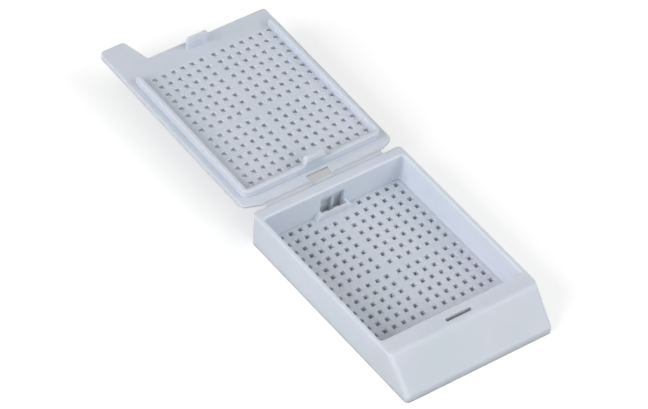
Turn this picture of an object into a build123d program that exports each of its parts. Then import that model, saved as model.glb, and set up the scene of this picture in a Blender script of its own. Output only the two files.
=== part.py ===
from build123d import *
import math
import os

# A histology tissue cassette: a perforated tray with a sloping front panel, and a
# perforated lid that folds over it on a film hinge. It stands open, as moulded.
# +X runs across the width, +Y from the sloping front to the hinge, +Z up.
# The origin is the centre of the tray's underside. All lengths are millimetres.

# Hole grid, shared by the tray floor and the lid
PITCH = 1.8
HOLE = 0.8
COLUMNS_PER_SIDE = 7
FIRST_COLUMN_X = 1.17
BAND_STEP = 0.54  # extra width of the solid band across the middle of the grid
NEAR_ROWS = 7  # on the lid; the tray has one more, beside its catch pocket
FAR_ROWS = 8

# Tray
TRAY_HALF_LENGTH = 19.8
TRAY_HEIGHT = 6.1
TRAY_RIM_HALF = 14.15
TRAY_LEAN = 0.25  # how far the sides and the rear lean in toward the foot
FLOOR = 1.1
WALL = 0.75
PANEL_WALL = 0.9
FRONT_LIP = 1.1
REAR_CORNER_R = 0.7
WELL_CORNER_R = 0.5
WELL_EDGE_R = 0.2
WELL_HALF = 13.35
WELL_FRONT, WELL_REAR = -11.75, 18.0
WELL_LEAN = 0.2  # how far each of its walls leans in toward the floor
WELL_FRONT_WALL = 0.8
CREST_Y = -14.8
CREST_R = 1.2
LIP_R = 0.8
PANEL_EDGE_R = 0.7
TRAY_FIRST_ROW_Y = 17.0

UPRIGHT = 0.9  # the least rise, per unit of length, of an edge that stands up

# Slot in the front ledge that the lid's latch drops into
LATCH_SLOT_HALF = 2.5
LATCH_SLOT_FRONT, LATCH_SLOT_REAR = -13.8, -13.1
LATCH_SLOT_R = 0.2

# Pocket in the rear wall that the lid's hinge-side catch swings into
POCKET_HALF = 2.3
POCKET_FRONT, POCKET_REAR = 17.15, 18.95
POCKET_TOP, POCKET_TOP_REAR = 4.35, 18.25
POCKET_RIB_X, POCKET_RIB, POCKET_RIB_FRONT = 0.5, 0.45, 18.4
SILL_TOP_HALF, SILL_FOOT_HALF = 2.8, 3.6
SILL_FRONT = 16.9
SILL_TOP = 2.2

# Hinge: the axis that the lid folds about, and the lid's lean when open
AXIS_Y = 20.45
AXIS_Z = 5.915
OPEN_LEAN = 1.36
FILM_Y = 20.05
FILM = 0.3
FILM_LID_U = 0.4
FILM_INNER, FILM_OUTER = 2.1, 11.2
LAND_TIP_X, LAND_TIP_Y = 13.3, 19.5
LAND_TONGUE_Y = 20.82
LAND_ROOT_X, LAND_ROOT_Y = 12.3, 18.75  # inside the rear wall
LAND = 0.9

# Lid, measured along it from the hinge axis (u) and up from its inner surface
LID_HALF = 14.25
LID_PLATE = 0.78
LID_INNER = -0.215  # height of the inner surface from the hinge axis
LID_END_U = 35.2
LID_NOTCH_U = 1.52
LID_NOTCH_CORNER_R = 0.9
LID_END_CORNER_R = 0.6
LID_FIRST_ROW_U = 4.98
LID_SLOT_END_U = 1.95
LID_THIN, LID_THIN_END_U, LID_FULL_U = 0.5, 2.0, 2.45  # the plate thins toward the film
TAB_END_U = 40.1
TAB_ROOT_X, TAB_TIP_X = -8.35, -9.6
TAB_OUTER_R, TAB_INNER_R, TAB_ROOT_R = 0.9, 0.75, 0.5
RIB_HEIGHT = 1.3
RIB_OUTER, RIB_INNER = 13.15, 12.4
RIB_NEAR_U, RIB_NEAR_INNER_U, RIB_END_U = 2.55, 3.35, 31.9
RIB_CORNER_R = 1.2
RIB_END_R = 0.35

# Catch on the hinge-side rib, and latch near the lid's free edge
CATCH_HALF = 1.8
CATCH_BACK_U = 3.45
CATCH_HEIGHT = 2.9
CATCH_BARB = 0.18
CATCH_BARB_W = 1.9
LATCH_HALF = 1.95
LATCH_NEAR_U, LATCH_BACK_U = 33.72, 34.12
LATCH_HEIGHT = 2.25
LATCH_BARB = 0.12
LATCH_BARB_W = 0.95
BARB_RISE = 0.25
TIP_TAPER = 0.12
TIP_CORNER_R = 0.45

# The lid's own plane: local x is +X, local y runs along the lid, z stands on its face
LEAN = math.radians(OPEN_LEAN)
LID = Plane(origin=(0, AXIS_Y, AXIS_Z), x_dir=(1, 0, 0), z_dir=(0, -math.sin(LEAN), math.cos(LEAN)))
LID_FACE = LID.offset(LID_INNER)
LID_SIDE = Plane(origin=LID_FACE.origin, x_dir=LID_FACE.y_dir, z_dir=(1, 0, 0))  # local x is u
COLUMNS = [side * (FIRST_COLUMN_X + PITCH * k) for k in range(COLUMNS_PER_SIDE) for side in (-1, 1)]


def upright(edge):
    """Whether an edge runs from foot to top."""
    return abs(edge.tangent_at(0).Z) > UPRIGHT


def row_places(first, step, near):
    """Where the hole rows lie: the near ones, then past the solid band the far ones."""
    band = math.copysign(BAND_STEP, step)
    return [first + step * n + (band if n >= near else 0) for n in range(near + FAR_ROWS)]


def leaning_block(half, front, rear, top, foot, lean, front_lean):
    """A block placed by its top. Toward its foot sides and rear lean in by lean, the front by front_lean."""
    with BuildPart() as block:
        with BuildSketch(Plane.XZ.offset(-rear)):
            Polygon((half - lean, foot), (half, top), (-half, top), (lean - half, foot), align=None)
        extrude(amount=rear - front)
        with BuildSketch(Plane.YZ.offset(-half)):
            Polygon((rear - lean, foot), (rear, top), (front, top), (front + front_lean, foot), align=None)
        extrude(amount=2 * half, mode=Mode.INTERSECT)
    return block.part


def panel_outline(rounded):
    """The tray seen from the side, filled, with sharp or rounded edges on its sloping panel."""
    front, rear = -TRAY_HALF_LENGTH, TRAY_HALF_LENGTH
    crest, lip = (CREST_Y, TRAY_HEIGHT), (front, FRONT_LIP)
    with BuildSketch(Plane.YZ.offset(-TRAY_RIM_HALF)) as outline:
        Polygon((rear, 0), (rear, TRAY_HEIGHT), crest, lip, (front, 0), align=None)
        if rounded:
            fillet(outline.vertices().sort_by_distance(crest)[0], CREST_R)
            fillet(outline.vertices().sort_by_distance(lip)[0], LIP_R)
    return outline.sketch


def well_space():
    """The space of the well, with rounded upright corners."""
    block = leaning_block(WELL_HALF, WELL_FRONT, WELL_REAR, TRAY_HEIGHT, FLOOR, WELL_LEAN, WELL_LEAN)
    with BuildPart() as well:
        add(block)
        fillet(well.edges().filter_by(upright), WELL_CORNER_R)
    return well.part


def panel_hollow():
    """The space behind the sloping panel, open underneath."""
    front = PANEL_WALL - TRAY_HALF_LENGTH
    rear = WELL_FRONT - WELL_FRONT_WALL
    top = TRAY_HEIGHT - PANEL_WALL
    rise = TRAY_HEIGHT - CREST_Y - PANEL_WALL * math.sqrt(2)  # height less y, along the panel's inner face
    with BuildPart() as hollow:
        with BuildSketch(Plane.YZ):
            Polygon((rear, 0), (rear, top), (top - rise, top), (front, front + rise), (front, 0), align=None)
        extrude(amount=TRAY_RIM_HALF - TRAY_LEAN - WALL, both=True)
    return hollow.part


def tray_shell():
    """The tray's outside with its well and the hollow behind the sloping panel."""
    front, rear, width = -TRAY_HALF_LENGTH, TRAY_HALF_LENGTH, 2 * TRAY_RIM_HALF
    block = leaning_block(TRAY_RIM_HALF, front, rear, TRAY_HEIGHT, 0, TRAY_LEAN, 0)
    sharp, soft = panel_outline(False), panel_outline(True)
    well, hollow = well_space(), panel_hollow()
    with BuildPart() as shell:
        add(block)
        extrude(sharp, amount=width, mode=Mode.INTERSECT)
        fillet(shell.edges().filter_by(upright).group_by(Axis.Y)[-1], REAR_CORNER_R)
        panel_edges = shell.edges().filter_by_position(Axis.Y, front, CREST_Y)
        fillet(panel_edges.filter_by(lambda edge: abs(edge.center().X) > WELL_HALF), PANEL_EDGE_R)
        extrude(soft, amount=width, mode=Mode.INTERSECT)
        add(well, mode=Mode.SUBTRACT)
        fillet(shell.faces().sort_by(Axis.Z)[-1].inner_wires()[0].edges(), WELL_EDGE_R)
        add(hollow, mode=Mode.SUBTRACT)
    return shell.part


def hinge_land():
    """The thin shelf behind the rear wall that the film grows from, with a tongue between the strips."""
    half = [
        (FILM_INNER, LAND_TONGUE_Y),
        (FILM_INNER, FILM_Y),
        (FILM_OUTER, FILM_Y),
        (LAND_TIP_X, LAND_TIP_Y),
        (LAND_ROOT_X, LAND_ROOT_Y),
    ]
    with BuildPart() as land:
        with BuildSketch(Plane.XY.offset(AXIS_Z + LID_INNER)):
            Polygon(*half, *[(-x, y) for x, y in reversed(half)], align=None)
        extrude(amount=-LAND)
    return land.part


def catch_sill():
    """The raised sill on the floor in front of the catch pocket, with a ramp at each end."""
    with BuildPart() as sill:
        with BuildSketch(Plane.XZ.offset(-WELL_REAR)):
            Polygon(
                (SILL_FOOT_HALF, FLOOR),
                (SILL_TOP_HALF, SILL_TOP),
                (-SILL_TOP_HALF, SILL_TOP),
                (-SILL_FOOT_HALF, FLOOR),
                align=None,
            )
        extrude(amount=WELL_REAR - SILL_FRONT)
    return sill.part


def catch_pocket():
    """The space of the catch pocket, around the small rib on its back."""
    with BuildPart() as pocket:
        with BuildSketch(Plane.YZ):
            Polygon(
                (POCKET_REAR, 0),
                (POCKET_REAR, SILL_TOP),
                (POCKET_TOP_REAR, POCKET_TOP),
                (POCKET_FRONT, POCKET_TOP),
                (POCKET_FRONT, 0),
                align=None,
            )
        extrude(amount=POCKET_HALF, both=True)
        with BuildSketch(Plane.XY):
            with Locations((POCKET_RIB_X, (POCKET_RIB_FRONT + POCKET_REAR) / 2)):
                Rectangle(POCKET_RIB, POCKET_REAR - POCKET_RIB_FRONT)
        extrude(amount=POCKET_TOP, mode=Mode.SUBTRACT)
    return pocket.part


def build_tray():
    """The perforated tray with its latch slot, catch pocket and hinge land."""
    rows = row_places(TRAY_FIRST_ROW_Y, -PITCH, NEAR_ROWS + 1)
    beside_sill = [(x, rows[0]) for x in COLUMNS if abs(x) > SILL_FOOT_HALF + HOLE / 2]
    shell, land, sill, pocket = tray_shell(), hinge_land(), catch_sill(), catch_pocket()
    with BuildPart() as base:
        add(shell)
        add(land)
        add(sill)
        add(pocket, mode=Mode.SUBTRACT)
        with BuildSketch(Plane.XY.offset(TRAY_HEIGHT)):
            with Locations((0, (LATCH_SLOT_FRONT + LATCH_SLOT_REAR) / 2)):
                RectangleRounded(2 * LATCH_SLOT_HALF, LATCH_SLOT_REAR - LATCH_SLOT_FRONT, LATCH_SLOT_R)
        extrude(amount=-2 * PANEL_WALL, mode=Mode.SUBTRACT)
        with BuildSketch(Plane.XY):
            with Locations(beside_sill + [(x, y) for y in rows[1:] for x in COLUMNS]):
                Rectangle(HOLE, HOLE)
        extrude(amount=FLOOR, mode=Mode.SUBTRACT)
    base.part.label = "base"
    return base.part


def hook(near_u, back_u, half, height, barb, barb_w):
    """A tongue standing on the lid, with a barb that points back to the hinge."""
    with BuildPart() as tongue:
        with BuildSketch(LID_SIDE):
            Polygon(
                (near_u, -LID_PLATE / 2),
                (back_u, -LID_PLATE / 2),
                (back_u, height),
                (near_u + TIP_TAPER, height),
                (near_u - barb, barb_w + BARB_RISE),
                (near_u, barb_w),
                align=None,
            )
        extrude(amount=half, both=True)
        tip = tongue.faces().sort_by(Axis.Z)[-1]
        fillet(tip.edges().filter_by(lambda edge: abs(edge.center().X) > half / 2), TIP_CORNER_R)
    return tongue.part


def lid_outline():
    """The lid seen from above: slot and notches at the hinge, finger tab at the far left corner."""
    corners = {
        (LID_HALF, LID_NOTCH_U): LID_NOTCH_CORNER_R,
        (LID_HALF, LID_END_U): LID_END_CORNER_R,
        (TAB_ROOT_X, LID_END_U): TAB_ROOT_R,
        (TAB_TIP_X, TAB_END_U): TAB_INNER_R,
        (-LID_HALF, TAB_END_U): TAB_OUTER_R,
        (-LID_HALF, LID_NOTCH_U): LID_NOTCH_CORNER_R,
    }
    with BuildSketch() as outline:
        Polygon(
            (-FILM_OUTER, FILM_LID_U),
            (-FILM_INNER, FILM_LID_U),
            (-FILM_INNER, LID_SLOT_END_U),
            (FILM_INNER, LID_SLOT_END_U),
            (FILM_INNER, FILM_LID_U),
            (FILM_OUTER, FILM_LID_U),
            *corners,
            align=None,
        )
        for corner, radius in corners.items():
            fillet(outline.vertices().sort_by_distance(corner)[0], radius)
    return outline.sketch


def lid_plate():
    """The lid's perforated plate, which thins toward the film."""
    outline = lid_outline()
    rows = row_places(LID_FIRST_ROW_U, PITCH, NEAR_ROWS)
    with BuildPart() as plate:
        with BuildSketch(LID_FACE):
            add(outline)
            with Locations([(x, u) for u in rows for x in COLUMNS]):
                Rectangle(HOLE, HOLE, mode=Mode.SUBTRACT)
        extrude(amount=-LID_PLATE)
        with BuildSketch(LID_SIDE):
            Polygon(
                (FILM_LID_U, -LID_PLATE),
                (LID_FULL_U, -LID_PLATE),
                (LID_THIN_END_U, -LID_THIN),
                (FILM_LID_U, -FILM),
                align=None,
            )
        extrude(amount=LID_HALF, both=True, mode=Mode.SUBTRACT)
    return plate.part


def lid_ribs():
    """The rib along both sides and the hinge end of the lid, open at the lid's free edge."""
    with BuildPart() as ribs:
        with BuildSketch(LID_FACE) as plan:
            with Locations((0, (RIB_NEAR_U + RIB_END_U) / 2)):
                Rectangle(2 * RIB_OUTER, RIB_END_U - RIB_NEAR_U)
            fillet(plan.vertices().group_by(Axis.Y)[0], RIB_CORNER_R)
            with Locations((0, (RIB_NEAR_INNER_U + LID_END_U) / 2)):
                Rectangle(2 * RIB_INNER, LID_END_U - RIB_NEAR_INNER_U, mode=Mode.SUBTRACT)
            fillet(plan.vertices().group_by(Axis.Y)[-1], RIB_END_R)
        extrude(amount=RIB_HEIGHT)
    return ribs.part


def build_lid():
    """The perforated lid: plate with finger tab, rib, catch and latch."""
    pieces = (
        lid_plate(),
        lid_ribs(),
        hook(RIB_NEAR_U, CATCH_BACK_U, CATCH_HALF, CATCH_HEIGHT, CATCH_BARB, CATCH_BARB_W),
        hook(LATCH_NEAR_U, LATCH_BACK_U, LATCH_HALF, LATCH_HEIGHT, LATCH_BARB, LATCH_BARB_W),
    )
    with BuildPart() as lid:
        for piece in pieces:
            add(piece)
    lid.part.label = "lid"
    return lid.part


def build_film():
    """The two thin strips, flush with the lid's inner surface, that join tray and lid."""
    top = AXIS_Z + LID_INNER
    lid_top = LID_SIDE.from_local_coords((FILM_LID_U, 0))
    lid_foot = LID_SIDE.from_local_coords((FILM_LID_U, -FILM))
    with BuildPart() as hinge_film:
        with BuildSketch(Plane.YZ.offset(FILM_INNER)):
            Polygon(
                (FILM_Y, top - FILM),
                (lid_foot.Y, lid_foot.Z),
                (lid_top.Y, lid_top.Z),
                (FILM_Y, top),
                align=None,
            )
        extrude(amount=FILM_OUTER - FILM_INNER)
        mirror(about=Plane.YZ)
    hinge_film.part.label = "hinge_film"
    return hinge_film.part


os.makedirs("parts", exist_ok=True)
for piece in (build_tray(), build_lid(), build_film()):
    export_step(piece, f"parts/{piece.label}.step")
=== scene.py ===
import logging
import math
from dataclasses import dataclass
from enum import Enum

import bmesh
import bpy
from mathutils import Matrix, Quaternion, Vector


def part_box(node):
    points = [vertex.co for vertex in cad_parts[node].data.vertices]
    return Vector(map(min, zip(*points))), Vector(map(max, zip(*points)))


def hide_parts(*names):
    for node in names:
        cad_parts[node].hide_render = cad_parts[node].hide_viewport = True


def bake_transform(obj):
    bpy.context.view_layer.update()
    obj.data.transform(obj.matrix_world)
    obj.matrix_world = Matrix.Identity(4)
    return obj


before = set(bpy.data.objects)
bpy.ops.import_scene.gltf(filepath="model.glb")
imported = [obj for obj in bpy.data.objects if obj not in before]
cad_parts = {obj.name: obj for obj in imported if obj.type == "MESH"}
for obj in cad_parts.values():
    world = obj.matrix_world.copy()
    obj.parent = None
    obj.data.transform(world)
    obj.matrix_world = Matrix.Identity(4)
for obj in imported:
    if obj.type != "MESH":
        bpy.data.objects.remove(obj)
MM = 0.001
WHITE = (1.0, 1.0, 1.0, 1.0)
# The open lid: how far it leans up, and its plate's upper face, measured square to the plate.
LID_LEAN = math.radians(1.36)
LID_PLATE_TOP = 5.21 * MM
log = logging.getLogger("tissue_cassette")


class Body(Enum):
    """The two bodies of the cassette, joined at the film hinge."""

    TRAY = "base"
    LID = "lid"


@dataclass(frozen=True)
class MouldedAcetal:
    """Pale, matt, slightly translucent acetal as it leaves the mould.

    Attributes:
        name: the material's name.
        glow: how far light spreads inside the plastic.
        tint: the plastic's colour, linear.
        deep: the colour of its faint, greener cloudy patches, linear.
        cloud: size of the patches.
        grain: size of the fine texture left by the mould.
        edge: radius that softens the edges of holes and plates.
        soft_edge: radius that softens the edges of walls, ribs and catches.
        lean: how far the perforated plate leans up from level.
        plate: height of the perforated plate's upper face, measured square to it.
        roughness: how matt the surface is.
        refraction: the plastic's index of refraction.
        scatter: share of the light that enters the plastic and comes out again.
        cloud_detail: octaves of noise in the patches.
        grain_detail: octaves of noise in the mould texture.
        grain_strength: how much of the mould texture shows.
        grain_depth: depth of the mould texture.
        edge_samples: rays that look for an edge to soften.
    """

    name: str
    glow: float
    tint: tuple[float, float, float] = (0.69, 0.695, 0.785)
    deep: tuple[float, float, float] = (0.57, 0.65, 0.71)
    cloud: float = 9 * MM
    grain: float = 0.12 * MM
    edge: float = 0.15 * MM
    soft_edge: float = 0.32 * MM
    lean: float = 0.0
    plate: float = 1.1 * MM
    roughness: float = 0.42
    refraction: float = 1.48
    scatter: float = 0.9
    cloud_detail: float = 4.0
    grain_detail: float = 2.0
    grain_strength: float = 0.25
    grain_depth: float = 0.01 * MM
    edge_samples: int = 6

    def material(self) -> bpy.types.Material:
        """Builds the node material.

        Returns:
            The finished material.
        """
        made = bpy.data.materials.new(self.name)
        made.use_nodes = True
        nodes, links = made.node_tree.nodes, made.node_tree.links
        shader = nodes["Principled BSDF"]
        shader.inputs["Roughness"].default_value = self.roughness
        shader.inputs["IOR"].default_value = self.refraction
        shader.inputs["Subsurface Weight"].default_value = self.scatter
        shader.inputs["Subsurface Radius"].default_value = (1.0, 1.0, 1.0)
        shader.inputs["Subsurface Scale"].default_value = self.glow
        place = nodes.new("ShaderNodeTexCoord").outputs["Object"]
        links.new(self._colour(nodes, links, place), shader.inputs["Base Color"])
        links.new(self._relief(nodes, links, place), shader.inputs["Normal"])
        return made

    def _colour(
        self, nodes: bpy.types.Nodes, links: bpy.types.NodeLinks, place: bpy.types.NodeSocket
    ) -> bpy.types.NodeSocket:
        """The plastic's colour, with its faint cloudy patches.

        Args:
            nodes: the material's nodes.
            links: the material's links.
            place: the socket that holds object coordinates.

        Returns:
            The socket that holds the colour.
        """
        cloud = nodes.new("ShaderNodeTexNoise")
        cloud.inputs["Scale"].default_value = 1 / self.cloud
        cloud.inputs["Detail"].default_value = self.cloud_detail
        links.new(place, cloud.inputs["Vector"])
        colour = nodes.new("ShaderNodeMix")
        colour.data_type = "RGBA"
        colour.inputs["A"].default_value = (*self.deep, 1)
        colour.inputs["B"].default_value = (*self.tint, 1)
        links.new(cloud.outputs["Fac"], colour.inputs["Factor"])
        return colour.outputs["Result"]

    def _relief(
        self, nodes: bpy.types.Nodes, links: bpy.types.NodeLinks, place: bpy.types.NodeSocket
    ) -> bpy.types.NodeSocket:
        """The fine texture left by the mould, on softened edges.

        Args:
            nodes: the material's nodes.
            links: the material's links.
            place: the socket that holds object coordinates.

        Returns:
            The socket that holds the surface's normal.
        """
        grain = nodes.new("ShaderNodeTexNoise")
        grain.inputs["Scale"].default_value = 1 / self.grain
        grain.inputs["Detail"].default_value = self.grain_detail
        links.new(place, grain.inputs["Vector"])
        soften = nodes.new("ShaderNodeBevel")
        soften.samples = self.edge_samples
        links.new(self._edge_radius(nodes, links, place), soften.inputs["Radius"])
        bump = nodes.new("ShaderNodeBump")
        bump.inputs["Strength"].default_value = self.grain_strength
        bump.inputs["Distance"].default_value = self.grain_depth
        links.new(grain.outputs["Fac"], bump.inputs["Height"])
        links.new(soften.outputs["Normal"], bump.inputs["Normal"])
        return bump.outputs["Normal"]

    def _edge_radius(
        self, nodes: bpy.types.Nodes, links: bpy.types.NodeLinks, place: bpy.types.NodeSocket
    ) -> bpy.types.NodeSocket:
        """Softening radius: wide above the plate, narrow on it, and none beside the hinge film.

        Args:
            nodes: the material's nodes.
            links: the material's links.
            place: the socket that holds object coordinates.

        Returns:
            The socket that holds the radius.
        """
        product = nodes.new("ShaderNodeMath")
        product.operation = "MULTIPLY"
        links.new(self._radius_by_height(nodes, links, place), product.inputs[0])
        links.new(self._share_beside_film(nodes, links, place), product.inputs[1])
        return product.outputs["Value"]

    def _radius_by_height(
        self, nodes: bpy.types.Nodes, links: bpy.types.NodeLinks, place: bpy.types.NodeSocket
    ) -> bpy.types.NodeSocket:
        """Radius that grows from the plate's upper face to the walls and ribs above it.

        Args:
            nodes: the material's nodes.
            links: the material's links.
            place: the socket that holds object coordinates.

        Returns:
            The socket that holds the radius.
        """
        upward = nodes.new("ShaderNodeVectorMath")
        upward.operation = "DOT_PRODUCT"
        upward.inputs[1].default_value = (0.0, -math.sin(self.lean), math.cos(self.lean))
        links.new(place, upward.inputs[0])
        radius = nodes.new("ShaderNodeMapRange")
        radius.inputs["From Min"].default_value = self.plate + self.edge
        radius.inputs["From Max"].default_value = self.plate + self.soft_edge + self.edge
        radius.inputs["To Min"].default_value = self.edge
        radius.inputs["To Max"].default_value = self.soft_edge
        links.new(upward.outputs["Value"], radius.inputs["Value"])
        return radius.outputs["Result"]

    def _share_beside_film(
        self, nodes: bpy.types.Nodes, links: bpy.types.NodeLinks, place: bpy.types.NodeSocket
    ) -> bpy.types.NodeSocket:
        """Share of the radius that is kept: 0 where the plastic meets the hinge film, 1 away from it.

        Args:
            nodes: the material's nodes.
            links: the material's links.
            place: the socket that holds object coordinates.

        Returns:
            The socket that holds the share.
        """
        low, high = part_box("hinge_film")
        along = nodes.new("ShaderNodeSeparateXYZ")
        links.new(place, along.inputs["Vector"])
        apart = nodes.new("ShaderNodeMath")
        apart.operation = "SUBTRACT"
        apart.inputs[1].default_value = (low.y + high.y) / 2
        links.new(along.outputs["Y"], apart.inputs[0])
        distance = nodes.new("ShaderNodeMath")
        distance.operation = "ABSOLUTE"
        links.new(apart.outputs["Value"], distance.inputs[0])
        share = nodes.new("ShaderNodeMapRange")
        share.inputs["From Min"].default_value = (high.y - low.y) / 2 + self.edge
        share.inputs["From Max"].default_value = (high.y - low.y) / 2 + 2 * self.edge
        links.new(distance.outputs["Value"], share.inputs["Value"])
        return share.outputs["Result"]


@dataclass
class HingeFilm:
    """The two thin strips that bend between tray and lid.

    Attributes:
        finish: the plastic.
        waist: share of the film's thickness left at its thinnest line.
        cuts: divisions along the bend.
        crease: edges that turn more than this stay sharp.
    """

    finish: bpy.types.Material
    waist: float = 0.6
    cuts: int = 14
    crease: float = math.radians(40)

    def build(self) -> bpy.types.Object:
        """Builds both strips as one piece, thinnest along their middle line.

        Returns:
            The film's object.
        """
        low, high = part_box("hinge_film")
        gap = self._inner_end()
        work = bmesh.new()
        for side in (-1, 1):
            self._strip(work, side, gap, low, high)
        mesh = bpy.data.meshes.new("film_strips")
        work.to_mesh(mesh)
        work.free()
        film = bpy.data.objects.new("film_strips", mesh)
        bpy.context.collection.objects.link(film)
        mesh.materials.append(self.finish)
        mesh.shade_smooth()
        mesh.set_sharp_from_angle(angle=self.crease)
        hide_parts("hinge_film")
        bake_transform(film)
        return film

    def _inner_end(self) -> float:
        """Reads from the CAD node how far the strips start from the middle.

        Returns:
            The distance from the middle to the strips' inner ends.
        """
        return min(abs(v.co.x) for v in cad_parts["hinge_film"].data.vertices)

    def _strip(self, work: bmesh.types.BMesh, side: int, gap: float, low: Vector, high: Vector) -> None:
        """Adds one strip.

        Args:
            work: the bmesh that takes the strip.
            side: 1 for the right strip and -1 for the left one.
            gap: distance from the middle to the strip's inner end.
            low: the film's lowest corner.
            high: the film's highest corner.
        """
        made = bmesh.ops.create_cube(work, size=1)["verts"]
        size = Vector((high.x - gap, high.y - low.y, high.z - low.z))
        bmesh.ops.scale(work, vec=size, verts=made)
        centre = Vector((side * (gap + high.x) / 2, (low.y + high.y) / 2, (low.z + high.z) / 2))
        bmesh.ops.translate(work, vec=centre, verts=made)
        edges = {edge for vert in made for edge in vert.link_edges}
        along = [edge for edge in edges if edge.verts[0].co.y != edge.verts[1].co.y]
        cut = bmesh.ops.subdivide_edges(work, edges=along, cuts=self.cuts, use_grid_fill=True)
        for vert in {g for g in cut["geom_inner"] if isinstance(g, bmesh.types.BMVert)}:
            across = (vert.co.y - low.y) / (high.y - low.y)
            if vert.co.z < centre.z:
                vert.co.z += (1 - self.waist) * size.z * math.sin(math.pi * across)


@dataclass
class MouldedPart:
    """The tray or the lid: a CAD node that keeps its own shape and takes the plastic.

    Attributes:
        body: the body that the node shows.
        finish: the plastic.
    """

    body: Body
    finish: bpy.types.Material

    def build(self) -> bpy.types.Object:
        """Dresses the node.

        Returns:
            The node's object.
        """
        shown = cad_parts[self.body.value]
        shown.data.materials.clear()
        shown.data.materials.append(self.finish)
        return shown


@dataclass(frozen=True)
class Lamp:
    """One soft square lamp that faces the cassette.

    Attributes:
        name: the lamp's name.
        place: where it stands.
        size: length of its side.
        power: its power in watts.
        colour: the light's colour, linear.
    """

    name: str
    place: tuple[float, float, float]
    size: float
    power: float
    colour: tuple[float, float, float] = (1.0, 1.0, 1.0)

    def build(self, target: Vector) -> None:
        """Adds the lamp.

        Args:
            target: the point that it faces.
        """
        data = bpy.data.lights.new(self.name, "AREA")
        data.size = self.size
        data.energy = self.power
        data.color = self.colour
        lamp = bpy.data.objects.new(self.name, data)
        lamp.location = self.place
        lamp.rotation_mode = "QUATERNION"
        lamp.rotation_quaternion = (target - Vector(self.place)).to_track_quat("-Z", "Y")
        bpy.context.collection.objects.link(lamp)


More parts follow.
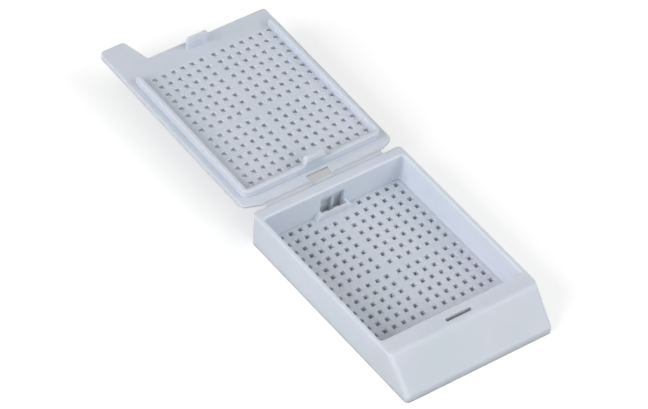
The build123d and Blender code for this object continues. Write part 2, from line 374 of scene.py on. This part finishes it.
@dataclass
class Studio:
    """White floor, soft light and the camera.

    Attributes:
        lamps: the lamps.
        sky: strength of the even light from all round.
        sky_seen: how bright the surroundings look, straight or in a gloss.
        floor_size: length of the floor's side.
        floor_drop: gap that keeps the floor's face off the tray's underside.
        floor_roughness: how matt the floor is.
        floor_bounce: how much light the floor throws back on the cassette.
        floor_shade: the floor's own colour where it is seen, which carries the shadow.
        floor_lift: what the floor adds where it is seen, so that it looks white.
        target: the point that lamps and camera face.
        azimuth: the camera's turn about the upright, in degrees.
        elevation: the camera's angle above level, in degrees.
        roll: the camera's turn about its own line of sight, in degrees.
        distance: from the camera to the target.
        lens: the camera's focal length in millimetres.
        sensor: width of the camera's sensor in millimetres.
    """

    lamps: tuple[Lamp, ...] = (
        Lamp("left_lamp", (-0.575, 0.02, 0.295), 0.4, 2.75),
        Lamp("front_lamp", (0.0, -0.54, 0.33), 0.4, 0.8, (0.97, 1.0, 0.95)),
        Lamp("right_lamp", (0.38, -0.33, 0.42), 0.4, 1.25),
    )
    sky: float = 0.37
    sky_seen: float = 1.0
    floor_size: float = 4.0
    floor_drop: float = 0.02 * MM
    floor_roughness: float = 0.9
    floor_bounce: float = 0.4
    floor_shade: float = 0.83
    floor_lift: float = 0.37
    target: tuple[float, float, float] = (0.5 * MM, 20.2 * MM, 0.0)
    azimuth: float = -41.84
    elevation: float = 44.86
    roll: float = 7.37
    distance: float = 716.2 * MM
    lens: float = 258.0
    sensor: float = 36.0

    def build(self) -> None:
        """Builds floor, world, lamps and camera."""
        self._floor()
        self._world()
        for lamp in self.lamps:
            lamp.build(Vector(self.target))
        self._camera()

    def _floor(self) -> None:
        """A white floor that keeps the cassette's shadow."""
        work = bmesh.new()
        bmesh.ops.create_grid(work, x_segments=1, y_segments=1, size=self.floor_size / 2)
        bmesh.ops.translate(work, vec=(0, 0, -self.floor_drop), verts=work.verts)
        mesh = bpy.data.meshes.new("floor")
        work.to_mesh(mesh)
        work.free()
        floor = bpy.data.objects.new("floor", mesh)
        bpy.context.collection.objects.link(floor)
        paper = bpy.data.materials.new("floor_paper")
        paper.use_nodes = True
        nodes, links = paper.node_tree.nodes, paper.node_tree.links
        shader = nodes["Principled BSDF"]
        shader.inputs["Roughness"].default_value = self.floor_roughness
        shader.inputs["Specular IOR Level"].default_value = 0.0
        shader.inputs["Emission Color"].default_value = WHITE
        direct = self._direct_ray(nodes, links)
        for socket, plain, seen in (
            ("Base Color", self.floor_bounce, self.floor_shade),
            ("Emission Strength", 0.0, self.floor_lift),
        ):
            blend = nodes.new("ShaderNodeMapRange")
            blend.inputs["To Min"].default_value = plain
            blend.inputs["To Max"].default_value = seen
            links.new(direct, blend.inputs["Value"])
            links.new(blend.outputs["Result"], shader.inputs[socket])
        mesh.materials.append(paper)

    def _world(self) -> None:
        """Even light from all round, seen as white by the camera."""
        world = bpy.data.worlds.new("studio")
        world.use_nodes = True
        nodes, links = world.node_tree.nodes, world.node_tree.links
        light = nodes["Background"]
        light.inputs["Color"].default_value = WHITE
        light.inputs["Strength"].default_value = self.sky
        seen = nodes.new("ShaderNodeBackground")
        seen.inputs["Color"].default_value = WHITE
        seen.inputs["Strength"].default_value = self.sky_seen
        mix = nodes.new("ShaderNodeMixShader")
        links.new(self._direct_ray(nodes, links), mix.inputs["Fac"])
        links.new(light.outputs["Background"], mix.inputs[1])
        links.new(seen.outputs["Background"], mix.inputs[2])
        links.new(mix.outputs["Shader"], nodes["World Output"].inputs["Surface"])
        bpy.context.scene.world = world

    def _direct_ray(self, nodes: bpy.types.Nodes, links: bpy.types.NodeLinks) -> bpy.types.NodeSocket:
        """Finds the rays that show the surroundings themselves, straight or in a gloss.

        Args:
            nodes: the nodes of the floor's material or the world.
            links: their links.

        Returns:
            A socket that is 1 for such rays and 0 for those that only carry light.
        """
        path = nodes.new("ShaderNodeLightPath")
        shown = path.outputs["Is Camera Ray"]
        for ray in ("Is Glossy Ray", "Is Transmission Ray"):
            either = nodes.new("ShaderNodeMath")
            either.operation = "MAXIMUM"
            links.new(shown, either.inputs[0])
            links.new(path.outputs[ray], either.inputs[1])
            shown = either.outputs["Value"]
        return shown

    def _camera(self) -> None:
        """A long lens at the left of the sloping front, looking down."""
        turn, rise = math.radians(self.azimuth), math.radians(self.elevation)
        back = Vector((math.sin(turn) * math.cos(rise), -math.cos(turn) * math.cos(rise), math.sin(rise)))
        data = bpy.data.cameras.new("camera")
        data.lens = self.lens
        data.sensor_width = self.sensor
        camera = bpy.data.objects.new("camera", data)
        camera.location = Vector(self.target) + back * self.distance
        camera.rotation_mode = "QUATERNION"
        level = (-back).to_track_quat("-Z", "Y")
        camera.rotation_quaternion = level @ Quaternion((0, 0, 1), math.radians(self.roll))
        bpy.context.collection.objects.link(camera)
        bpy.context.scene.camera = camera


def main() -> None:
    """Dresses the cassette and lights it."""
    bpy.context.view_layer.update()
    walls = MouldedAcetal(name="wall_acetal", glow=1.4 * MM)
    plate = MouldedAcetal(name="plate_acetal", glow=0.8 * MM, lean=LID_LEAN, plate=LID_PLATE_TOP)
    film = MouldedAcetal(name="film_acetal", glow=0.4 * MM, edge=0.02 * MM, soft_edge=0.02 * MM)
    parts = (
        MouldedPart(Body.TRAY, walls.material()),
        MouldedPart(Body.LID, plate.material()),
        HingeFilm(film.material()),
    )
    for part in parts:
        piece = part.build()
        log.info("%s: %d faces", piece.name, len(piece.data.polygons))
    Studio().build()
    bpy.context.scene.view_settings.view_transform = "Standard"


if __name__ == "__main__":
    logging.basicConfig(level=logging.INFO)
    main()
